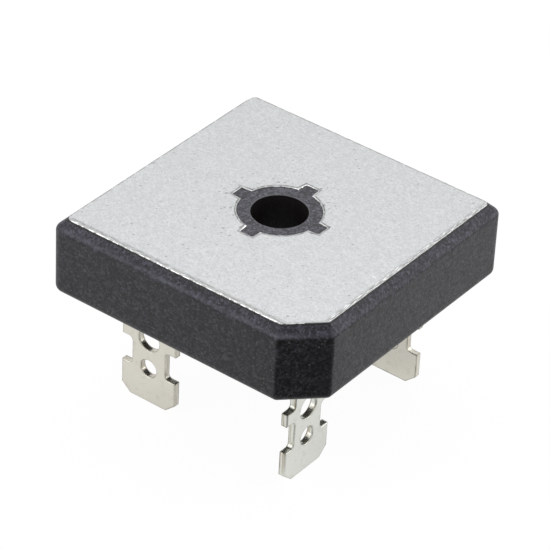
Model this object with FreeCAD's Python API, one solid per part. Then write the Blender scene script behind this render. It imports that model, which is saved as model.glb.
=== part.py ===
import FreeCAD, Part
import math
import os

# Bridge rectifier in a square case with a metal base, standing on the tips of its four
# terminals with the metal base up. Millimetres, +Z up. The origin is on the axis of the
# screw bore, in the plane of the terminal tips. The cut corner of the case is at +X -Y.

# Case
body_side = 28.5
body_height = 7.65
body_corner_cut = 3.4
cut_edge_radius = 0.5
rim_radius = 0.8
bevel_drop = 0.85
bevel_edge_radius = 0.5
bevel_land = 0.05
corner_over_edges = 0.2
wall = 1.9
wall_draft_degrees = 1.5
cavity_corner_radius = 1.2

# Metal base plate, set into the case and a little proud of it
plate_thickness = 1.5
plate_proud = 0.1
plate_inset = 0.9
plate_corner_inset = 0.95
plate_corner_radius = 0.6
plate_cut_corner_radius = 0.3
plate_edge_break = 0.05

# Moulded sleeve round the screw bore, with four keys that lock it in the plate
bore_diameter = 5.2
bore_edge_break = 0.06
sleeve_wall = 1.22
key_reach = 0.98
key_root_width = 1.7
key_tip_width = 1.35
key_corner_radius = 0.2
key_count = 4

# Punched terminals, sizes up from the tip
tab_width = 6.15
tab_thickness = 0.65
tip_cut_width = 1.04
tip_cut_height = 0.91
lower_lug_height = 3.41
waist_height = 2.94
upper_lug_height = 1.31
neck_reach = 3.99
neck_width = 3.84
waist_fillet = 0.4
small_hole_diameter = 1.8
small_hole_rise = 0.31
large_hole_diameter = 2.3
large_hole_drop = 0.78
punched_edge_break = 0.06
bend_radius = 0.4
foot_length = 3.0

# Places of the terminals: spacing of the three like blades, and the turned one's reach
# from the axis of the bore, all to the middle of the blade
blade_row_spacing = 17.9
blade_spacing = 13.9
positive_reach = 9.45
positive_side_reach = 7.6

# Insulator and copper pads
insulator_thickness = 0.63
insulator_clearance = 0.5
insulator_bore_clearance = 0.5
pad_thickness = 0.3
pad_border = 0.6
pad_gap = 1.0
base_solder_thickness = 0.1
solder_thickness = 0.08

# Diode chips and the clips that bridge the gaps between the pads
chip_thickness = 0.3
chip_setback = 0.4
chip_border = 0.35
chip_foot_clearance = 0.45
clip_thickness = 0.4
clip_margin = 0.35
clip_step_run = 0.5
clip_landing = 2.0

# Potting resin that fills the tray from the terminal side
meniscus_rise = 0.3
potting_margin = 0.1

# Heights that follow from the sizes above
upper_lug_bottom = lower_lug_height + waist_height
upper_lug_top = upper_lug_bottom + upper_lug_height
rim_level = upper_lug_top + neck_reach
case_level = rim_level + body_height
face_level = case_level + plate_proud
plate_level = face_level - plate_thickness
insulator_level = plate_level - base_solder_thickness
pad_level = insulator_level - insulator_thickness
copper_level = pad_level - pad_thickness
solder_level = copper_level - solder_thickness
chip_level = solder_level - chip_thickness
clip_level = chip_level - solder_thickness
potting_level = rim_level + potting_margin + meniscus_rise

# Sizes across that follow from the sizes above
half_side = body_side / 2
edge_radius = max(rim_radius, bevel_edge_radius)
sleeve_radius = bore_diameter / 2 + sleeve_wall
insulator_bore_radius = sleeve_radius + insulator_bore_clearance
insulator_inset = wall + insulator_clearance + (plate_level - rim_level) * math.tan(
    math.radians(wall_draft_degrees))
pad_inset = insulator_inset + pad_border
pad_bore_radius = insulator_bore_radius + pad_border
chip_start = pad_gap / 2 + chip_setback
chip_side = (blade_spacing - neck_width) / 2 - chip_foot_clearance - chip_start
chip_middle = chip_start + chip_side / 2
clip_width = chip_side - 2 * clip_margin
site_inset = pad_inset + chip_border + chip_side / 2
overshoot = 1.0
same_point = 1e-7
level_tolerance = 1e-4

# Name of each terminal: its blade's middle, and the turn that points its foot inwards
terminal_places = {
    "positive": (positive_reach, -positive_side_reach, 90),
    "negative": (-blade_spacing / 2, blade_row_spacing / 2, 180),
    "ac_1": (-blade_spacing / 2, -blade_row_spacing / 2, 0),
    "ac_2": (blade_spacing / 2, blade_row_spacing / 2, 180),
}

# Quarter of the insulator that each copper pad covers
pad_quarters = {
    "positive": (1, -1),
    "negative": (-1, 1),
    "ac_1": (-1, -1),
    "ac_2": (1, 1),
}

# Where each diode bridges a gap, and the turn from its chip to its clip's landing.
# Every chip lies with its cathode on the pad: 1 and 2 on the positive pad, 3 and 4 on
# the pads of the two supply terminals.
diode_places = {
    1: (0, site_inset - half_side, 180),
    2: (half_side - site_inset, 0, 90),
    3: (site_inset - half_side, 0, 90),
    4: (0, half_side - site_inset, 180),
}


def vector(x, y, z=0.0):
    return FreeCAD.Vector(x, y, z)


def rounded_wire(corners, level=0.0):
    """Closed wire through corners given as (x, y, radius), with an arc at each one."""
    arcs = []
    count = len(corners)
    for index in range(count):
        x, y, radius = corners[index]
        corner = vector(x, y, level)
        before = vector(*corners[index - 1][:2], level) - corner
        after = vector(*corners[(index + 1) % count][:2], level) - corner
        half_angle = before.getAngle(after) / 2
        before.normalize()
        after.normalize()
        middle = before + after
        middle.normalize()
        tangent = radius / math.tan(half_angle)
        depth = radius / math.sin(half_angle) - radius
        arcs.append((corner + before * tangent, corner + middle * depth, corner + after * tangent))
    edges = []
    for index in range(count):
        start, middle, end = arcs[index]
        next_start = arcs[(index + 1) % count][0]
        if start.distanceToPoint(end) > same_point:
            edges.append(Part.Arc(start, middle, end).toShape())
        if end.distanceToPoint(next_start) > same_point:
            edges.append(Part.LineSegment(end, next_start).toShape())
    return Part.Wire(edges)


def prism(wire, height):
    return Part.Face(wire).extrude(vector(0, 0, height))


def cylinder(radius, bottom, top):
    return Part.makeCylinder(radius, top - bottom, vector(0, 0, bottom))


def body_corners(inset, corner_inset, radius=0, cut_radius=0):
    """Square with one cut corner, moved inwards from the outer walls of the case."""
    half = half_side - inset
    outer_cut_distance = (body_side - body_corner_cut) / math.sqrt(2)
    cut = 2 * half - math.sqrt(2) * (outer_cut_distance - corner_inset)
    return [
        (-half, -half, radius),
        (half - cut, -half, cut_radius),
        (half, cut - half, cut_radius),
        (half, half, radius),
        (-half, half, radius),
    ]


def ruled_block(low_wire, high_wire):
    return Part.makeLoft([low_wire, high_wire], True, True)


def edges_at(shape, level):
    """Edges that lie flat at one height."""
    def near(height):
        return abs(height - level) < level_tolerance
    return [edge for edge in shape.Edges if near(edge.BoundBox.ZMin) and near(edge.BoundBox.ZMax)]


def turned(shape, x, y, degrees):
    """Copy of a shape turned about Z and then moved."""
    placed = shape.copy()
    placed.rotate(vector(0, 0), vector(0, 0, 1), degrees)
    placed.translate(vector(x, y))
    return placed


def outer_body():
    """Outer form of the case: walls, rounded rim and the bevel up to the metal plate."""
    bevel_level = case_level - bevel_drop
    wall_corners = body_corners(0, 0, edge_radius + corner_over_edges, cut_edge_radius)
    top_corners = body_corners(plate_inset - bevel_land, plate_corner_inset - bevel_land,
                               plate_corner_radius + bevel_land, plate_cut_corner_radius + bevel_land)
    walls = prism(rounded_wire(wall_corners, rim_level), bevel_level - rim_level)
    bevel = ruled_block(rounded_wire(wall_corners, bevel_level), rounded_wire(top_corners, case_level))
    body = walls.fuse(bevel).removeSplitter()
    body = body.makeFillet(rim_radius, edges_at(body, rim_level))
    return body.makeFillet(bevel_edge_radius, edges_at(body, bevel_level))


def cavity_block(low, high):
    """Stretch of the tray's drafted inside, between two heights."""
    def section(level):
        inset = wall + (level - rim_level) * math.tan(math.radians(wall_draft_degrees))
        return rounded_wire(body_corners(inset, inset, cavity_corner_radius, cavity_corner_radius), level)
    return ruled_block(section(low), section(high))


def plate_seat():
    """Pocket that the metal plate fills, out to its own edges."""
    corners = body_corners(plate_inset, plate_corner_inset, plate_corner_radius, plate_cut_corner_radius)
    return prism(rounded_wire(corners, plate_level), plate_thickness)


def keyed_sleeve_end(top):
    """End of the sleeve in the plate, with its tapered keys, up to the given height."""
    end = cylinder(sleeve_radius, plate_level, top)
    key_end = sleeve_radius + key_reach
    key_root = bore_diameter / 2
    for index in range(key_count):
        corners = [
            (key_root, -key_root_width / 2, 0),
            (key_end, -key_tip_width / 2, key_corner_radius),
            (key_end, key_tip_width / 2, key_corner_radius),
            (key_root, key_root_width / 2, 0),
        ]
        key = prism(rounded_wire(corners, plate_level), top - plate_level)
        end = end.fuse(turned(key, 0, 0, index * 360 / key_count))
    return end.removeSplitter()


def screw_bore():
    """Bore through the whole body, with a small edge break at both mouths."""
    radius = bore_diameter / 2
    bore = cylinder(radius, rim_level - overshoot, case_level + overshoot)
    mouth = radius + bore_edge_break
    low = Part.makeCone(mouth, radius, bore_edge_break, vector(0, 0, rim_level))
    high = Part.makeCone(radius, mouth, bore_edge_break, vector(0, 0, case_level - bore_edge_break))
    return bore.fuse([low, high])


def case():
    """Frame of walls moulded round the edge of the metal plate, open on the terminal side."""
    frame = outer_body().cut(plate_seat())
    return frame.cut(cavity_block(rim_level, plate_level)).removeSplitter()


def bore_sleeve():
    """Tube that takes the screw through plate and resin, flush with both faces of the case."""
    tube = cylinder(sleeve_radius, rim_level, plate_level)
    return tube.fuse(keyed_sleeve_end(case_level)).cut(screw_bore()).removeSplitter()


def base_plate():
    plate = plate_seat().cut(keyed_sleeve_end(face_level))
    return plate.makeChamfer(plate_edge_break, edges_at(plate, face_level))


def insulator():
    corners = body_corners(insulator_inset, insulator_inset)
    sheet = prism(rounded_wire(corners, pad_level), insulator_thickness)
    return sheet.cut(cylinder(insulator_bore_radius, pad_level, insulator_level))


def base_solder():
    """Joint between the insulator and the metal plate, over the insulator's own area."""
    corners = body_corners(insulator_inset, insulator_inset)
    layer = prism(rounded_wire(corners, insulator_level), base_solder_thickness)
    return layer.cut(cylinder(insulator_bore_radius, insulator_level, plate_level))


def pad(quarter):
    """Quarter of the copper on the insulator, cleared round the sleeve and beside its neighbours."""
    corners = body_corners(pad_inset, pad_inset)
    sheet = prism(rounded_wire(corners, copper_level), pad_thickness)
    x_side, y_side = quarter
    near = pad_gap / 2
    far = half_side
    window = [
        (x_side * near, y_side * near, 0),
        (x_side * far, y_side * near, 0),
        (x_side * far, y_side * far, 0),
        (x_side * near, y_side * far, 0),
    ]
    quarter_block = prism(rounded_wire(window, copper_level), pad_thickness)
    return sheet.common(quarter_block).cut(cylinder(pad_bore_radius, copper_level, pad_level))


def centred_slab(length, width, low, thickness, middle):
    """Flat block whose middle lies on local X at the given place."""
    return Part.makeBox(length, width, thickness, vector(middle - length / 2, -width / 2, low))


def chip():
    return centred_slab(chip_side, chip_side, chip_level, chip_thickness, -chip_middle)


def chip_solder():
    return centred_slab(chip_side, chip_side, solder_level, solder_thickness, -chip_middle)


def clip_ends():
    """Far end over the chip, and the start and end of the landing, along local X."""
    over_chip = chip_side / 2 - clip_margin
    return -chip_middle - over_chip, chip_start, chip_start + clip_landing


def clip():
    """Copper strip over a chip, stepped up to its landing on the next pad."""
    far_end, landing_start, landing_end = clip_ends()
    step_start = -pad_gap / 2
    step_end = step_start + clip_step_run
    top = clip_level
    landing_top = solder_level
    corners = [
        (far_end, top, 0),
        (step_start, top, clip_thickness / 2),
        (step_end, landing_top, clip_thickness),
        (landing_end, landing_top, 0),
        (landing_end, landing_top - clip_thickness, 0),
        (step_end, landing_top - clip_thickness, clip_thickness / 2),
        (step_start, top - clip_thickness, clip_thickness),
        (far_end, top - clip_thickness, 0),
    ]
    strip = prism(rounded_wire(corners), clip_width)
    strip.rotate(vector(0, 0), vector(1, 0, 0), 90)
    strip.translate(vector(0, clip_width / 2))
    return strip


def clip_solders():
    """Joints under both ends of a clip: on the chip and on the next pad."""
    far_end, landing_start, landing_end = clip_ends()
    on_chip = centred_slab(clip_width, clip_width, clip_level, solder_thickness, -chip_middle)
    landing_middle = (landing_start + landing_end) / 2
    on_pad = centred_slab(clip_landing, clip_width, solder_level, solder_thickness, landing_middle)
    return [on_chip, on_pad]


def blade_corners(neck_end):
    """Right half of the blade's outline, up from the tip, then mirrored to the left."""
    half = tab_width / 2
    neck = neck_width / 2
    right = [
        (half - tip_cut_width, 0, 0),
        (half, tip_cut_height, 0),
        (half, lower_lug_height, 0),
        (neck, lower_lug_height, waist_fillet),
        (neck, upper_lug_bottom, waist_fillet),
        (half, upper_lug_bottom, 0),
        (half, upper_lug_top, 0),
        (neck, upper_lug_top, waist_fillet),
        (neck, neck_end, 0),
    ]
    left = [(-x, y, radius) for x, y, radius in reversed(right)]
    return right + left


def blade(neck_end):
    """Flat punched blade with its two holes, standing in the XZ plane.

    The edges that the punch entered, on the outer face, are slightly broken.
    """
    plate = prism(rounded_wire(blade_corners(neck_end)), tab_thickness)
    for diameter, height in ((small_hole_diameter, lower_lug_height + small_hole_rise),
                             (large_hole_diameter, upper_lug_top - large_hole_drop)):
        plate = plate.cut(Part.makeCylinder(diameter / 2, tab_thickness, vector(0, height)))
    punched = [edge for edge in edges_at(plate, tab_thickness) if edge.BoundBox.YMin < upper_lug_top]
    plate = plate.makeChamfer(punched_edge_break, punched)
    plate.rotate(vector(0, 0), vector(1, 0, 0), 90)
    plate.translate(vector(0, tab_thickness / 2))
    return plate


def foot_flat():
    """Start and end of the foot's flat stretch, measured inwards from the blade's middle."""
    outer_face = -tab_thickness / 2
    return outer_face + bend_radius + tab_thickness, outer_face + foot_length


def bent_foot(bend_level):
    """Bend and foot as a side profile, drawn in the YZ plane across the width of the neck."""
    outer_face = -tab_thickness / 2
    inner_face = tab_thickness / 2
    foot_end = foot_flat()[1]
    foot_bottom = solder_level - tab_thickness
    corners = [
        (outer_face, bend_level, 0),
        (inner_face, bend_level, 0),
        (inner_face, foot_bottom, bend_radius),
        (foot_end, foot_bottom, 0),
        (foot_end, solder_level, 0),
        (outer_face, solder_level, bend_radius + tab_thickness),
    ]
    profile = prism(rounded_wire(corners), neck_width)
    profile.rotate(vector(0, 0), vector(1, 1, 1), 120)
    profile.translate(vector(-neck_width / 2, 0))
    return profile


def terminal():
    bend_level = solder_level - tab_thickness - bend_radius
    return blade(bend_level).fuse(bent_foot(bend_level)).removeSplitter()


def terminal_solder():
    flat_start, foot_end = foot_flat()
    corner = vector(-neck_width / 2, flat_start, solder_level)
    return Part.makeBox(neck_width, foot_end - flat_start, solder_thickness, corner)


def potting_pool():
    """Air over the resin, narrowed by its meniscus along the walls and round the sleeve."""
    def outline(offset, level):
        radius = cavity_corner_radius - offset
        return rounded_wire(body_corners(wall + offset, wall + offset, radius, radius), level)
    pool = ruled_block(outline(-potting_margin, rim_level), outline(meniscus_rise, potting_level))
    round_sleeve = Part.makeCone(sleeve_radius - potting_margin, sleeve_radius + meniscus_rise,
                                 potting_level - rim_level, vector(0, 0, rim_level))
    return pool.cut(round_sleeve)


def potting(inner_pieces):
    """Resin round every inner piece, with a meniscus where its surface meets the case."""
    resin = cavity_block(rim_level, plate_level).cut(inner_pieces)
    resin = resin.cut(cylinder(sleeve_radius, rim_level, plate_level))
    return resin.cut(potting_pool())


def inner_nodes():
    """Every piece between the metal plate and the tips of the terminals, by name."""
    nodes = {"insulator": insulator(), "base_solder": base_solder()}
    for name, quarter in pad_quarters.items():
        nodes["pad_" + name] = pad(quarter)
    for name, place in terminal_places.items():
        nodes["terminal_" + name] = turned(terminal(), *place)
    for number, place in diode_places.items():
        nodes["diode_chip_%d" % number] = turned(chip(), *place)
        nodes["clip_%d" % number] = turned(clip(), *place)
    chip_joints = [turned(chip_solder(), *place) for place in diode_places.values()]
    clip_joints = [turned(joint, *place) for place in diode_places.values() for joint in clip_solders()]
    foot_joints = [turned(terminal_solder(), *place) for place in terminal_places.values()]
    nodes["chip_solder"] = Part.makeCompound(chip_joints)
    nodes["clip_solder"] = Part.makeCompound(clip_joints)
    nodes["terminal_solder"] = Part.makeCompound(foot_joints)
    return nodes


def main():
    os.makedirs("parts", exist_ok=True)
    nodes = inner_nodes()
    inner_pieces = [solid for shape in nodes.values() for solid in shape.Solids]
    nodes["potting"] = potting(inner_pieces)
    nodes["base_plate"] = base_plate()
    nodes["bore_sleeve"] = bore_sleeve()
    nodes["case"] = case()
    for name, shape in nodes.items():
        shape.exportStep(os.path.join("parts", name + ".step"))
        print(name, len(shape.Solids), "solid(s)", round(shape.Volume, 3), "mm3")


main()
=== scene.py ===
import math

import bpy
from mathutils import Matrix, Vector


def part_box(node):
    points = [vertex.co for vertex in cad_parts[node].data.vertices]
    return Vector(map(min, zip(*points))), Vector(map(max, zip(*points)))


# Looks of a bridge rectifier that stands on the tips of its terminals, metal base up.
# Metres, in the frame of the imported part: +Z up, origin on the axis of the screw bore.
# Lengths on the part are written in millimetres, times MM.
MM = 0.001

# Camera, worked out from the straight edges of the case in the photo. At azimuth 0 it looks
# along +Y. It aims at the axis of the bore and then moves in its own plane.
camera_azimuth = 36.07
camera_elevation = 35.42
camera_roll = 2.97
camera_distance = 295.05 * MM
camera_aim_level = 19.3 * MM
camera_right = -0.41 * MM
camera_up = -5.62 * MM
focal_pixels = 3344.9
photo_pixels = 550
sensor_width_mm = 36

# Softboxes: azimuth counted from +X towards +Y, elevation, distance, width, height, brightness
softboxes = {
    "left_softbox": (-130, 44, 0.28, 0.22, 0.18, 1.1),
    "right_softbox": (50, 34, 0.28, 0.22, 0.16, 1.2),
    "top_softbox": (126, 66, 0.28, 0.22, 0.22, 1.25),
    "left_strip": (-119, 8, 0.30, 0.24, 0.07, 1.7),
    "right_strip": (43, 9, 0.30, 0.20, 0.07, 1.8),
    "front_strip": (-40, 12, 0.30, 0.16, 0.06, 0.35),
}

# Surroundings
white = (1, 1, 1)
room_brightness = 0.55
room_reflection = 0.92
floor_side = 4.0
floor_colour = (0.82, 0.82, 0.82)
floor_whiteness = 0.93
floor_glow = 1.03

# The floor towards the camera is dim in reflections, from a distance on and within a sector
# that is given by the cosine of the angle off its middle
dim_side_azimuth = -40
dim_side_level = 0.1
dim_distances = (14 * MM, 28 * MM)
dim_sector = (0.45, 0.9)

# Shade under the part, as its own metal sees it
shade_level = 0.8
shade_radii = (8 * MM, 15 * MM)

# Parts of a noise's range, to be stretched to another range. It seldom leaves the wide one.
wide_noise = (0.3, 0.7)
usual_noise = (0.35, 0.65)
narrow_noise = (0.4, 0.6)

# Moulding: sizes of its marks and of its painted light and shade, and how far below its top they
# lie
blotch_size = 0.6 * MM
blotch_strength = (0.6, 1.35)
moulding_grain = (0.16 * MM, 0.23 * MM)
speck_size = 0.13 * MM
speck_share = 0.01
# Top band painted paler: painted light on the upward bevel and ring end, over the grain
lit_band_depth = 0.87 * MM
lit_band_fade = 0.35 * MM
lit_band_waver = 0.15 * MM
waver_size = 0.7 * MM
# Painted shade in the joint along the top of the case, next to the plate
seam_shade_depth = 0.09 * MM
case_seam_shade_share = 0.9
# Painted highlight along the rounded edge between the bevel and the walls, in patches, weaker on
# the x sides
edge_highlight_depth = 0.73 * MM
edge_highlight_half_width = 0.22 * MM
highlight_patch_size = 0.6 * MM
highlight_patch_least = 0.3
x_side_highlight = 0.35
# Inside the bore wall the moulding is painted dark as painted shade, with weaker reflection
bore_wall_radius = 2.605 * MM
# Painted glint round the opening of the bore
mouth_glint_width = 0.06 * MM
blotch_relief = 0.012 * MM
grain_relief = 0.004 * MM
moulding_roughness = (0.4, 0.5)
brightest_grain = 0.7
moulding_glint = (0.39, 0.58)
bore_glint = 0.55

# Moulding: colours
moulding_tint = (0.94, 0.94, 1.0)
moulding_colours = ((0.003, 0.003, 0.003), (0.033, 0.032, 0.041))
# Colours of the top band, painted paler as painted light, the grain mottle running between them
case_top_light_colours = ((0.002, 0.002, 0.003), (0.066, 0.064, 0.097))
sleeve_top_light_colours = ((0.022, 0.022, 0.025), (0.14, 0.14, 0.175))
# Painted highlight along the edge below the bevel
edge_highlight_colour = (0.08, 0.079, 0.1)
# Painted shade in the joint at the top of the case
seam_shade_colour = (0.001, 0.001, 0.001)
speck_colour = (0.065, 0.063, 0.065)
# Painted glint at the opening of the bore
mouth_glint_colour = (0.14, 0.14, 0.15)
# Painted shade inside the bore
bore_shade_colour = (0.012, 0.0098, 0.0095)

# Outlines that the marks of the plate follow
body_side = 28.5 * MM
body_corner_cut = 3.4 * MM
plate_corner_inset = 0.95 * MM
sleeve_radius = 3.82 * MM
key_reach = 0.98 * MM
key_root_width = 1.7 * MM
key_tip_width = 1.35 * MM

# Plate: spots, as the spacing of their places, their radius and the share of places filled.
# Scars and nicks are raised by a gain and held at 1, so they are full nearly to their edge.
coarse_pits = (1.1 * MM, 0.17 * MM, 0.35)
fine_pits = (0.5 * MM, 0.1 * MM, 0.35)
scars = (0.6 * MM, 0.16 * MM, 0.6)
scarred_reach = 1.8 * MM
nicks = (2.6 * MM, 0.22 * MM, 0.25)
nick_stretch = (0.45, 0.8, 1)
hard_spot_gain = 3
hollow_strength = 0.7
hollow_relief = 0.03 * MM
plate_grain = 0.14 * MM
plate_grain_strength = 0.7
plate_grain_relief = 0.002 * MM
plate_cloud_size = 0.6 * MM

# Plate: how far in its painted glints and painted shade along the edges reach, and their form.
# They follow a noise whose strokes have a width and a length. Bright painted glints lie where it
# is over a level, and thin out from one share of the reach to its end. Painted shade of a groove
# lies at another share of the reach.
near_edge_reach = 0.62 * MM
torn_edge_reach = 0.85 * MM
far_edge_reach = 0.25 * MM
sleeve_edge_reach = 0.28 * MM
cut_edge_reach = 0.3 * MM
cut_edge_strength = 0.5
y_side_marks = {
    "bright_from": 0.53, "fade_from": 0, "groove_at": 0.5, "stroke": (0.16 * MM, 0.7 * MM)}
x_side_marks = {
    "bright_from": 0.55, "fade_from": 0.3, "groove_at": 0.15, "stroke": (0.09 * MM, 0.9 * MM)}
sleeve_marks = {
    "bright_from": 0.54, "fade_from": 0, "groove_at": 0.5, "stroke": (0.11 * MM, 0.45 * MM)}
glint_thinning = 0.3
glint_onset = (-0.01, 0.03)
groove_half_widths = (0.05, 0.5)
groove_strength = (1.0, 0.25)

# Plate: its sides below the top face, part with burnish and part torn, the y sides painted lighter
# as painted light and the x sides darker as painted shade
face_depth = 0.012 * MM
face_fade = 0.01 * MM
tear_size = 0.4 * MM
tear_noise = (0.43, 0.55)
side_roughness = 0.3
face_roughness = 0.48

# Plate: colours
nickel_colours = ((0.567, 0.578, 0.588), (0.605, 0.616, 0.621))
nickel_grain_colour = (0.44, 0.45, 0.456)
hollow_colour = (0.24, 0.24, 0.24)
nick_colour = (0.82, 0.82, 0.82)
# Painted shade in the grooves round the sleeve and along the sides
sleeve_groove_shade_colour = (0.12, 0.12, 0.12)
side_groove_shade_colour = (0.28, 0.28, 0.275)
# Painted glints along the edges
edge_glint_colour = (0.78, 0.785, 0.785)
# Burnish of the sides: the y sides painted light, the x sides painted shaded
lit_y_side_burnish = (0.9, 0.9, 0.89)
shaded_x_side_burnish = (0.38, 0.38, 0.375)
torn_colour = (0.26, 0.26, 0.25)

# Terminals: sizes of their marks
tin_cloud_size = 1.6 * MM
tin_roughness = (0.24, 0.36)
rolling_size = 0.12 * MM
rolling_stretch = (1, 1, 0.12)
rolling_relief = 0.0015 * MM
handling_size = 0.7 * MM
handling_noise = (0.57, 0.7)
handling_strength = 0.4
streak_size = 0.2 * MM
streak_stretch = (1, 1, 0.08)
streak_noise = (0.45, 0.65)
broad_face_limit = 0.5
# Painted shade along the edges, in patches, where a rounded normal parts from the true one
edge_radius = 0.24 * MM
edge_samples = 8
edge_agreement = (0.9, 0.998)
edge_shade_patch_size = 1.2 * MM
edge_shade_patch_strength = (0.3, 0.9)

# Terminals: colours, with the turned blade greyer than the others
grey_tin = ((0.655, 0.662, 0.61), (0.738, 0.749, 0.696))
warm_tin = ((0.63, 0.607, 0.537), (0.71, 0.687, 0.613))
grey_tin_streaking = 0.6
warm_tin_streaking = 0.35
handling_colour = (0.52, 0.495, 0.43)
streak_colour = (0.3, 0.225, 0.12)
# Painted shade along the edges
edge_shade_colour = (0.2, 0.19, 0.155)

# Resin, with its bubbles given like the spots of the plate
resin_colours = ((0.008, 0.008, 0.009), (0.016, 0.016, 0.017))
resin_roughness = (0.28, 0.42)
resin_wave_size = 4 * MM
resin_wave_relief = 0.15 * MM
resin_bubbles = (1.6 * MM, 0.22 * MM, 0.2)
resin_bubble_relief = 0.04 * MM

# Copper
copper_colours = ((0.87, 0.47, 0.32), (0.66, 0.30, 0.18))
copper_roughness = (0.28, 0.45)
copper_patch_size = 1.2 * MM
copper_rolling_size = 0.1 * MM
copper_rolling_stretch = (1, 0.15, 1)
copper_rolling_relief = 0.003 * MM


def connect(tree, made, inputs):
    """Puts values, links and three-part colours on the inputs of a node."""
    for name, value in inputs.items():
        socket = made.inputs[name]
        if isinstance(value, bpy.types.NodeSocket):
            tree.links.new(value, socket)
        elif socket.type == "RGBA":
            socket.default_value = (*value, 1)
        else:
            socket.default_value = value


def node(tree, kind, inputs=None, **settings):
    """Shader node with its settings and what lies on its inputs."""
    made = tree.nodes.new(kind)
    for name, value in settings.items():
        setattr(made, name, value)
    connect(tree, made, inputs or {})
    return made


def maths(tree, operation, first, second=0.0, clamp=False):
    values = {0: first, 1: second}
    return node(tree, "ShaderNodeMath", values, operation=operation, use_clamp=clamp).outputs[0]


def product(tree, first, second):
    return maths(tree, "MULTIPLY", first, second)


def larger(tree, first, second):
    return maths(tree, "MAXIMUM", first, second)


def ramp(tree, value, low, high, to_low=0.0, to_high=1.0):
    """Value stretched from low..high to another range, held at its ends."""
    made = node(tree, "ShaderNodeMapRange", {
        "Value": value, "From Min": low, "From Max": high, "To Min": to_low, "To Max": to_high})
    return made.outputs["Result"]


def between(tree, share, first, second):
    """Value that goes from one to another as a share goes from 0 to 1."""
    return ramp(tree, share, 0, 1, first, second)


def mixed(tree, share, first, second):
    """Colour between two others. A Mix node numbers its sockets for colours 6, 7 and 2."""
    made = node(tree, "ShaderNodeMix", {"Factor": share, 6: first, 7: second}, data_type="RGBA")
    return made.outputs[2]


def alignment(tree, first, second):
    """Dot product of two vectors: for unit vectors the cosine of the angle between them."""
    made = node(tree, "ShaderNodeVectorMath", {0: first, 1: second}, operation="DOT_PRODUCT")
    return made.outputs["Value"]


def surface_position(tree):
    return node(tree, "ShaderNodeTexCoord").outputs["Object"]


def coordinates(tree):
    split = node(tree, "ShaderNodeSeparateXYZ", {"Vector": surface_position(tree)})
    return split.outputs["X"], split.outputs["Y"], split.outputs["Z"]


def stretched_position(tree, stretch):
    place = surface_position(tree)
    return node(tree, "ShaderNodeMapping", {"Vector": place, "Scale": stretch}).outputs[0]


def noise(tree, size, detail, stretch=(1, 1, 1)):
    """Soft noise from 0 to 1 whose blots are about one size across."""
    place = stretched_position(tree, stretch)
    made = node(tree, "ShaderNodeTexNoise", {"Vector": place, "Scale": 1 / size, "Detail": detail})
    return made.outputs["Fac"]


def cells(tree, spacing, stretch=(1, 1, 1)):
    """Distance in spacings from the nearest middle in a loose grid of cells, and its value."""
    place = stretched_position(tree, stretch)
    made = node(tree, "ShaderNodeTexVoronoi", {"Vector": place, "Scale": 1 / spacing})
    split = node(tree, "ShaderNodeSeparateColor", {"Color": made.outputs["Color"]})
    return made.outputs["Distance"], split.outputs[0]


def cell_values(tree, spacing):
    """A random value from 0 to 1 for each cell of a loose grid."""
    return cells(tree, spacing)[1]


def spots(tree, spacing, radius, share, stretch=(1, 1, 1)):
    """Round or long spots, 1 at their middle, in a share of the cells of a loose grid."""
    distance, value = cells(tree, spacing, stretch)
    inside = ramp(tree, distance, 0, radius / spacing, 1, 0)
    return product(tree, inside, maths(tree, "LESS_THAN", value, share))


def bump(tree, pattern, relief, under=None):
    """Normal for a pattern whose full range is one relief high, over another normal if given."""
    inputs = {"Height": pattern, "Distance": relief, "Strength": 1.0}
    if under:
        inputs["Normal"] = under
    return node(tree, "ShaderNodeBump", inputs).outputs["Normal"]


def new_finish(name, metallic=0.0):
    """Material with one shader, ready for its colour, roughness and normal."""
    material = bpy.data.materials.new(name)
    material.use_nodes = True
    tree = material.node_tree
    shader = tree.nodes["Principled BSDF"]
    connect(tree, shader, {"Metallic": metallic})
    return material, tree, shader


def axis_distance(tree):
    """How far a point lies from the axis of the screw bore."""
    place = surface_position(tree)
    flat = node(tree, "ShaderNodeVectorMath", {0: place, 1: (1, 1, 0)}, operation="MULTIPLY")
    made = node(tree, "ShaderNodeVectorMath", {0: flat.outputs[0]}, operation="LENGTH")
    return made.outputs["Value"]


def above(tree, height, level, fade):
    """0 where a height is below a level and 1 above it, with a soft change between."""
    return ramp(tree, height, level - fade / 2, level + fade / 2)


def painted_edge_highlight(tree):
    """1 along the rounded edge between the bevel and the walls, where a highlight is painted, 0 a
    little way off it; in patches and weaker on the x sides.
    """
    x, y, z = coordinates(tree)
    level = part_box("case")[1].z - edge_highlight_depth
    off_edge = maths(tree, "ABSOLUTE", maths(tree, "SUBTRACT", z, level))
    line = ramp(tree, off_edge, 0, edge_highlight_half_width, 1, 0)
    patches = noise(tree, highlight_patch_size, detail=3)
    patchy = ramp(tree, patches, *usual_noise, highlight_patch_least, 1)
    far_x, far_y = maths(tree, "ABSOLUTE", x), maths(tree, "ABSOLUTE", y)
    y_side = maths(tree, "GREATER_THAN", far_y, far_x)
    return product(tree, line, product(tree, patchy, between(tree, y_side, x_side_highlight, 1)))


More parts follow.
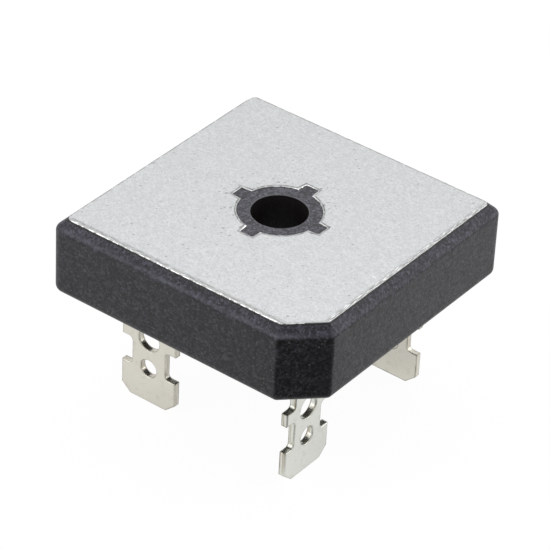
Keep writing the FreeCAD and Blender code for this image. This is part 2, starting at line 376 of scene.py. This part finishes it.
def black_plastic(name, top_light_colours, seam_shade_share):
    """Black moulding: grained all over, with pale specks, a top end painted paler as painted
    light, a painted highlight along the edge below the bevel, painted shade in the joint at its
    top, a painted glint round the opening of the bore and a bore painted dark as painted shade.
    """
    material, tree, shader = new_finish(name)
    case_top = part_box("case")[1].z
    height = coordinates(tree)[2]
    blotches = noise(tree, blotch_size, detail=3)
    grain = product(tree, *(cell_values(tree, size) for size in moulding_grain))
    mottle = product(tree, grain, ramp(tree, blotches, *wide_noise, *blotch_strength))
    smooth = mixed(tree, mottle, *moulding_colours)
    # Top band colour with the painted highlight along the edge below the bevel
    lit_band_colour = mixed(tree, painted_edge_highlight(tree), mixed(tree, mottle, *top_light_colours), edge_highlight_colour)
    waves = noise(tree, waver_size, detail=3)
    waver = ramp(tree, waves, *usual_noise, -lit_band_waver, lit_band_waver)
    wavering = maths(tree, "ADD", height, waver)
    # Painted light: the band under the top of the moulding is paler
    lit_band = above(tree, wavering, case_top - lit_band_depth, lit_band_fade)
    # Painted shade along the joint at the top, next to the plate
    seam_shade = maths(tree, "GREATER_THAN", height, case_top - seam_shade_depth)
    body = mixed(tree, lit_band, smooth, lit_band_colour)
    seam_shaded = mixed(tree, product(tree, seam_shade, seam_shade_share), body, seam_shade_colour)
    specks = maths(tree, "GREATER_THAN", cell_values(tree, speck_size), 1 - speck_share)
    speckled = mixed(tree, specks, seam_shaded, speck_colour)
    from_axis = axis_distance(tree)
    # Painted shade: the bore is painted dark and its reflection weakened
    bore = maths(tree, "LESS_THAN", from_axis, bore_wall_radius)
    # Painted glint round the opening of the bore
    mouth_glint = maths(tree, "LESS_THAN", from_axis, bore_wall_radius + mouth_glint_width)
    mouth_glinted = mixed(tree, mouth_glint, speckled, mouth_glint_colour)
    glints = ramp(tree, grain, 0, brightest_grain, *moulding_glint)
    connect(tree, shader, {
        "Specular Tint": moulding_tint,
        "Base Color": mixed(tree, bore, mouth_glinted, bore_shade_colour),
        "Roughness": ramp(tree, blotches, *wide_noise, *moulding_roughness),
        "Specular IOR Level": product(tree, glints, between(tree, bore, 1, bore_glint)),
        "Normal": bump(tree, grain, grain_relief, bump(tree, blotches, blotch_relief)),
    })
    return material


def side_distances(tree):
    """How far a point of the plate lies inside its two x sides and its two y sides."""
    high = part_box("base_plate")[1]
    x, y, z = coordinates(tree)
    inside_x = maths(tree, "SUBTRACT", high.x, maths(tree, "ABSOLUTE", x))
    inside_y = maths(tree, "SUBTRACT", high.y, maths(tree, "ABSOLUTE", y))
    return inside_x, inside_y


def cut_distance(tree):
    """How far a point of the plate lies inside its cut corner, at +X -Y."""
    x, y, z = coordinates(tree)
    towards_cut = product(tree, maths(tree, "SUBTRACT", x, y), math.sqrt(0.5))
    cut_line = (body_side - body_corner_cut) / math.sqrt(2) - plate_corner_inset
    return maths(tree, "SUBTRACT", cut_line, towards_cut)


def sleeve_distance(tree):
    """How far a point of the plate lies outside the sleeve and its keys."""
    x, y, z = coordinates(tree)
    far_x, far_y = maths(tree, "ABSOLUTE", x), maths(tree, "ABSOLUTE", y)
    key_tip = sleeve_radius + key_reach
    along_key, across_key = larger(tree, far_x, far_y), maths(tree, "MINIMUM", far_x, far_y)
    half_width = ramp(
        tree, along_key, sleeve_radius, key_tip, key_root_width / 2, key_tip_width / 2)
    past_tip = maths(tree, "SUBTRACT", along_key, key_tip)
    beside = maths(tree, "SUBTRACT", across_key, half_width)
    beyond_ring = maths(tree, "SUBTRACT", axis_distance(tree), sleeve_radius)
    return maths(tree, "MINIMUM", beyond_ring, larger(tree, past_tip, beside))


def strokes(tree, distance, along, stroke):
    """Noise drawn out along an edge, like the marks that shearing leaves."""
    width, length = stroke
    place = node(tree, "ShaderNodeCombineXYZ", {
        "X": maths(tree, "DIVIDE", distance, width), "Y": maths(tree, "DIVIDE", along, length)})
    made = node(tree, "ShaderNodeTexNoise", {
        "Vector": place.outputs[0], "Scale": 1.0, "Detail": 3.0})
    return made.outputs["Fac"]


def edge_marks(tree, distance, along, reach, bright_from, fade_from, groove_at, stroke):
    """Where an edge gets a painted glint, and how dark the painted shade in the groove beside it
    is, both within a reach.
    """
    marks = strokes(tree, distance, along, stroke)
    share = maths(tree, "DIVIDE", distance, reach)
    thinned = maths(tree, "SUBTRACT", marks, ramp(tree, share, fade_from, 1, 0, glint_thinning))
    bright = ramp(tree, thinned, *(bright_from + level for level in glint_onset))
    off_groove = maths(tree, "ABSOLUTE", maths(tree, "SUBTRACT", share, groove_at))
    groove = ramp(tree, off_groove, *groove_half_widths, 1, 0)
    return bright, product(tree, groove, ramp(tree, marks, *narrow_noise, *groove_strength))


def plate_hollows(tree, around_sleeve):
    """Pits all over the plate, and scars near the sleeve."""
    pits = larger(tree, spots(tree, *coarse_pits), spots(tree, *fine_pits))
    scarring = ramp(tree, around_sleeve, 0, scarred_reach, hard_spot_gain, 0)
    return larger(tree, pits, maths(tree, "MULTIPLY", spots(tree, *scars), scarring, clamp=True))


def plate_face_colour(tree, grain, hollows, around_sleeve):
    """Grained nickel with its pits and nicks, and painted glints and painted shade along its
    edges, reaching further in on the near edges.
    """
    x, y, z = coordinates(tree)
    inside_x, inside_y = side_distances(tree)
    around = product(tree, maths(tree, "ARCTAN2", y, x), sleeve_radius)
    # Painted glints and shade reach further in on the two near edges than on the far ones
    near_half = maths(tree, "GREATER_THAN", x, y)
    x_reach = between(tree, near_half, far_edge_reach, torn_edge_reach)
    y_reach = between(tree, near_half, far_edge_reach, near_edge_reach)
    x_glint, x_groove_shade = edge_marks(tree, inside_x, y, x_reach, **x_side_marks)
    y_glint, y_groove_shade = edge_marks(tree, inside_y, x, y_reach, **y_side_marks)
    sleeve_glint, sleeve_groove_shade = edge_marks(
        tree, around_sleeve, around, sleeve_edge_reach, **sleeve_marks)
    # Painted shade along the cut edge, and in the grooves beside the other edges
    cut_edge_shade = ramp(tree, cut_distance(tree), 0, cut_edge_reach, cut_edge_strength, 0)
    side_groove_shades = larger(tree, larger(tree, x_groove_shade, y_groove_shade), cut_edge_shade)
    # Painted glints along the edges and round the sleeve
    edge_glints = larger(tree, larger(tree, x_glint, y_glint), sleeve_glint)
    nick_spots = spots(tree, *nicks, nick_stretch)
    nicked = maths(tree, "MULTIPLY", nick_spots, hard_spot_gain, clamp=True)
    clouds = ramp(tree, noise(tree, plate_cloud_size, detail=3), *usual_noise)
    colour = mixed(tree, clouds, *nickel_colours)
    for share, mark in (
            (product(tree, grain, plate_grain_strength), nickel_grain_colour),
            (product(tree, hollows, hollow_strength), hollow_colour),
            (nicked, nick_colour),
            (sleeve_groove_shade, sleeve_groove_shade_colour),
            (side_groove_shades, side_groove_shade_colour),
            (edge_glints, edge_glint_colour)):
        colour = mixed(tree, share, colour, mark)
    return colour


def plate_side_colour(tree):
    """Sheared sides of the plate, torn in places with burnish between the tears, the y sides
    painted lighter and the x sides darker as painted light and shade.
    """
    inside_x, inside_y = side_distances(tree)
    x_side = maths(tree, "LESS_THAN", inside_x, inside_y)
    # Painted light and shade: y sides lighter, x sides darker
    burnish_lit_and_shaded = mixed(tree, x_side, lit_y_side_burnish, shaded_x_side_burnish)
    untorn = ramp(tree, noise(tree, tear_size, detail=4), *tear_noise)
    return mixed(tree, untorn, torn_colour, burnish_lit_and_shaded)


def plated_base():
    """Matt nickel on a blasted plate: fine grain, pits, bright nicks and ragged sheared edges with
    painted glints and painted shade.
    """
    material, tree, shader = new_finish("plated_base", metallic=1.0)
    grain = cell_values(tree, plate_grain)
    around_sleeve = sleeve_distance(tree)
    hollows = plate_hollows(tree, around_sleeve)
    face_colour = plate_face_colour(tree, grain, hollows, around_sleeve)
    face_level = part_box("base_plate")[1].z - face_depth
    face = above(tree, coordinates(tree)[2], face_level, face_fade)
    pitted = bump(tree, product(tree, hollows, -1), hollow_relief)
    connect(tree, shader, {
        "Base Color": mixed(tree, face, plate_side_colour(tree), face_colour),
        "Roughness": between(tree, face, side_roughness, face_roughness),
        "Normal": bump(tree, grain, plate_grain_relief, pitted),
    })
    return material


def tinned_terminal(name, tin, broad_way, streaking):
    """Satin tin over copper strip: rolling grain up the blade, handling marks and painted shade
    along the edges.

    The punched faces, which are all but the two broad ones, have brown streaks from shearing.
    """
    material, tree, shader = new_finish(name, metallic=1.0)
    clouds = noise(tree, tin_cloud_size, detail=3)
    handling = noise(tree, handling_size, detail=4)
    handled = ramp(tree, handling, *handling_noise, 0, handling_strength)
    marked = mixed(tree, handled, mixed(tree, clouds, *tin), handling_colour)
    facing = node(tree, "ShaderNodeNewGeometry").outputs["True Normal"]
    broad = maths(tree, "ABSOLUTE", alignment(tree, facing, broad_way))
    punched = maths(tree, "LESS_THAN", broad, broad_face_limit)
    streaks = noise(tree, streak_size, detail=2, stretch=streak_stretch)
    brown = product(tree, punched, ramp(tree, streaks, *streak_noise, 0, streaking))
    sheared = mixed(tree, brown, marked, streak_colour)
    # Painted shade where the rounded normal parts from the true one, in patches
    bevel = node(tree, "ShaderNodeBevel", {"Radius": edge_radius}, samples=edge_samples)
    rounded = bevel.outputs["Normal"]
    edge = ramp(tree, alignment(tree, rounded, facing), *edge_agreement, 1, 0)
    patches = noise(tree, edge_shade_patch_size, detail=2)
    edge_shade = product(tree, edge, ramp(tree, patches, *narrow_noise, *edge_shade_patch_strength))
    rolling = noise(tree, rolling_size, detail=2, stretch=rolling_stretch)
    connect(tree, shader, {
        "Base Color": mixed(tree, edge_shade, sheared, edge_shade_colour),
        "Roughness": ramp(tree, clouds, *wide_noise, *tin_roughness),
        "Normal": bump(tree, rolling, rolling_relief, rounded),
    })
    return material


def cast_resin():
    """Black potting resin: satin skin with slow waves and rare bubbles."""
    material, tree, shader = new_finish("cast_resin")
    waves = noise(tree, resin_wave_size, detail=2)
    wavy = bump(tree, waves, resin_wave_relief)
    bubbles = product(tree, spots(tree, *resin_bubbles), -1)
    connect(tree, shader, {
        "Base Color": mixed(tree, waves, *resin_colours),
        "Roughness": ramp(tree, waves, *wide_noise, *resin_roughness),
        "Normal": bump(tree, bubbles, resin_bubble_relief, wavy),
    })
    return material


def bare_copper():
    """Copper pads and clips, slightly browned in patches by the oven."""
    material, tree, shader = new_finish("bare_copper", metallic=1.0)
    patches = noise(tree, copper_patch_size, detail=4)
    rolling = noise(tree, copper_rolling_size, detail=2, stretch=copper_rolling_stretch)
    connect(tree, shader, {
        "Base Color": mixed(tree, patches, *copper_colours),
        "Roughness": ramp(tree, patches, *wide_noise, *copper_roughness),
        "Normal": bump(tree, rolling, copper_rolling_relief),
    })
    return material


def even_finish(name, metallic, size, detail, colours, roughness, relief):
    """Finish whose colour, roughness and relief all follow one soft pattern."""
    material, tree, shader = new_finish(name, metallic)
    pattern = noise(tree, size, detail)
    connect(tree, shader, {
        "Base Color": mixed(tree, pattern, *colours),
        "Roughness": ramp(tree, pattern, *wide_noise, *roughness),
        "Normal": bump(tree, pattern, relief),
    })
    return material


def fired_alumina():
    """White ceramic sheet with a faint grey grain."""
    return even_finish(
        "fired_alumina", metallic=0.0, size=0.15 * MM, detail=3,
        colours=((0.72, 0.72, 0.70), (0.84, 0.84, 0.82)), roughness=(0.5, 0.62),
        relief=0.004 * MM)


def grey_silicon():
    """Diced silicon with a metallised, faintly clouded face."""
    return even_finish(
        "grey_silicon", metallic=0.6, size=0.8 * MM, detail=3,
        colours=((0.10, 0.105, 0.115), (0.18, 0.185, 0.20)), roughness=(0.18, 0.3),
        relief=0.002 * MM)


def dull_solder():
    """Frosty grey solder with a wrinkled skin."""
    return even_finish(
        "dull_solder", metallic=1.0, size=0.3 * MM, detail=4,
        colours=((0.48, 0.48, 0.49), (0.64, 0.64, 0.65)), roughness=(0.35, 0.5),
        relief=0.01 * MM)


def dress(frame):
    """Puts each finish on the CAD nodes it belongs to."""
    along_x, along_y = (1, 0, 0), (0, 1, 0)
    finishes = [
        (black_plastic("case_moulding", case_top_light_colours, case_seam_shade_share), ["case"]),
        (black_plastic("sleeve_moulding", sleeve_top_light_colours, 0), ["bore_sleeve"]),
        (plated_base(), ["base_plate"]),
        (cast_resin(), ["potting"]),
        (tinned_terminal("tin_grey", grey_tin, along_x, grey_tin_streaking),
         ["terminal_positive"]),
        (tinned_terminal("tin_warm", warm_tin, along_y, warm_tin_streaking),
         ["terminal_negative", "terminal_ac_1", "terminal_ac_2"]),
        (fired_alumina(), ["insulator"]),
        (bare_copper(), ["pad_positive", "pad_negative", "pad_ac_1", "pad_ac_2",
                         "clip_1", "clip_2", "clip_3", "clip_4"]),
        (grey_silicon(), ["diode_chip_1", "diode_chip_2", "diode_chip_3", "diode_chip_4"]),
        (dull_solder(), ["base_solder", "chip_solder", "clip_solder", "terminal_solder"]),
    ]
    for material, names in finishes:
        for name in names:
            for slot in frame["nodes"][name].material_slots:
                slot.material = material


def direction(azimuth, elevation):
    """Unit vector, with its azimuth counted from +X towards +Y."""
    turn, rise = math.radians(azimuth), math.radians(elevation)
    level = math.cos(rise)
    return Vector((math.cos(turn) * level, math.sin(turn) * level, math.sin(rise)))


def add_softbox(name, azimuth, elevation, distance, width, height, brightness, middle):
    """Rectangular lamp that faces the part, with the same brightness all over it."""
    data = bpy.data.lights.new(name, "AREA")
    data.shape = "RECTANGLE"
    data.size = width
    data.size_y = height
    data.energy = brightness * math.pi * width * height
    lamp = bpy.data.objects.new(name, data)
    towards = direction(azimuth, elevation)
    lamp.location = middle + distance * towards
    lamp.rotation_euler = towards.to_track_quat("Z", "Y").to_euler()
    bpy.context.scene.collection.objects.link(lamp)


def light_room():
    """White for the camera, plain soft grey for everything that the room lights."""
    world = bpy.data.worlds.new("room")
    world.use_nodes = True
    tree = world.node_tree
    tree.nodes.clear()
    rays = node(tree, "ShaderNodeLightPath")
    level = between(tree, rays.outputs["Is Glossy Ray"], room_brightness, room_reflection)
    seen = between(tree, rays.outputs["Is Camera Ray"], level, 1)
    shown = node(tree, "ShaderNodeBackground", {"Color": white, "Strength": seen})
    node(tree, "ShaderNodeOutputWorld", {"Surface": shown.outputs[0]})
    bpy.context.scene.world = world


def towards_dim_side(tree, place, start, end):
    """0 all round, rising to 1 between two reaches towards the dim side."""
    reach = alignment(tree, place, direction(dim_side_azimuth, 0))
    made = node(tree, "ShaderNodeMapRange", {
        "Value": reach, "From Min": start, "From Max": end}, interpolation_type="SMOOTHSTEP")
    return made.outputs["Result"]


def reflected_glow(tree):
    """Glow of the floor in reflections: dim towards the camera, shaded under the part."""
    place = surface_position(tree)
    heading = node(tree, "ShaderNodeVectorMath", {0: place}, operation="NORMALIZE").outputs[0]
    dim = product(tree, towards_dim_side(tree, place, *dim_distances),
                  towards_dim_side(tree, heading, *dim_sector))
    side = between(tree, dim, 1, dim_side_level)
    under = ramp(tree, axis_distance(tree), *shade_radii, shade_level, 1)
    return product(tree, product(tree, side, under), floor_glow)


def white_floor():
    """Pale paper that the camera and the metal see as white, with the part's soft shadow.

    Its under side is clear, so that the part can be looked at from below.
    """
    material = bpy.data.materials.new("white_floor")
    material.use_nodes = True
    tree = material.node_tree
    tree.nodes.clear()
    rays = node(tree, "ShaderNodeLightPath")
    glossy = rays.outputs["Is Glossy Ray"]
    seen = larger(tree, rays.outputs["Is Camera Ray"], rays.outputs["Is Transmission Ray"])
    paper = node(tree, "ShaderNodeBsdfDiffuse", {"Color": floor_colour})
    glow = between(tree, glossy, floor_glow, reflected_glow(tree))
    shining = node(tree, "ShaderNodeEmission", {"Strength": glow})
    share = product(tree, larger(tree, seen, glossy), floor_whiteness)
    upper_side = node(tree, "ShaderNodeMixShader", {
        "Fac": share, 1: paper.outputs[0], 2: shining.outputs[0]})
    clear = node(tree, "ShaderNodeBsdfTransparent")
    from_below = node(tree, "ShaderNodeNewGeometry").outputs["Backfacing"]
    both_sides = node(tree, "ShaderNodeMixShader", {
        "Fac": from_below, 1: upper_side.outputs[0], 2: clear.outputs[0]})
    node(tree, "ShaderNodeOutputMaterial", {"Surface": both_sides.outputs[0]})
    return material


def add_floor():
    mesh = bpy.data.meshes.new("floor")
    half = floor_side / 2
    corners = [(-half, -half, 0), (half, -half, 0), (half, half, 0), (-half, half, 0)]
    mesh.from_pydata(corners, [], [(0, 1, 2, 3)])
    mesh.materials.append(white_floor())
    floor = bpy.data.objects.new("floor", mesh)
    bpy.context.scene.collection.objects.link(floor)


def add_camera(aim):
    """Camera of the photo: a long lens from above the cut corner, turned a little."""
    back = direction(camera_azimuth - 90, camera_elevation)
    level_right = direction(camera_azimuth, 0)
    level_up = back.cross(level_right)
    roll = math.radians(camera_roll)
    right = math.cos(roll) * level_right + math.sin(roll) * level_up
    up = math.cos(roll) * level_up - math.sin(roll) * level_right
    data = bpy.data.cameras.new("camera")
    data.sensor_width = sensor_width_mm
    data.lens = focal_pixels / photo_pixels * sensor_width_mm
    camera = bpy.data.objects.new("camera", data)
    place = aim + camera_right * right + camera_up * up + camera_distance * back
    turn = Matrix((right, up, back)).transposed().to_4x4()
    camera.matrix_world = Matrix.Translation(place) @ turn
    bpy.context.scene.collection.objects.link(camera)
    bpy.context.scene.camera = camera


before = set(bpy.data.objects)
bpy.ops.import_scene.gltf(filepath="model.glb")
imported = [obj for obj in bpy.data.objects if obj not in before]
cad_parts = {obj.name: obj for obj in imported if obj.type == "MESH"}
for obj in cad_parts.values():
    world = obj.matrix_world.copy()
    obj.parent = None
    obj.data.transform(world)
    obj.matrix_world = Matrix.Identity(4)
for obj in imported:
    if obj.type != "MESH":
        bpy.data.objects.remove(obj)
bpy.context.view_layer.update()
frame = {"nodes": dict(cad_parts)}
dress(frame)
face_middle = Vector((0, 0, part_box("base_plate")[1].z))
light_room()
for lamp_name, lamp_settings in softboxes.items():
    add_softbox(lamp_name, *lamp_settings, middle=face_middle)
add_floor()
add_camera(Vector((0, 0, camera_aim_level)))
bpy.context.scene.view_settings.view_transform = "Standard"
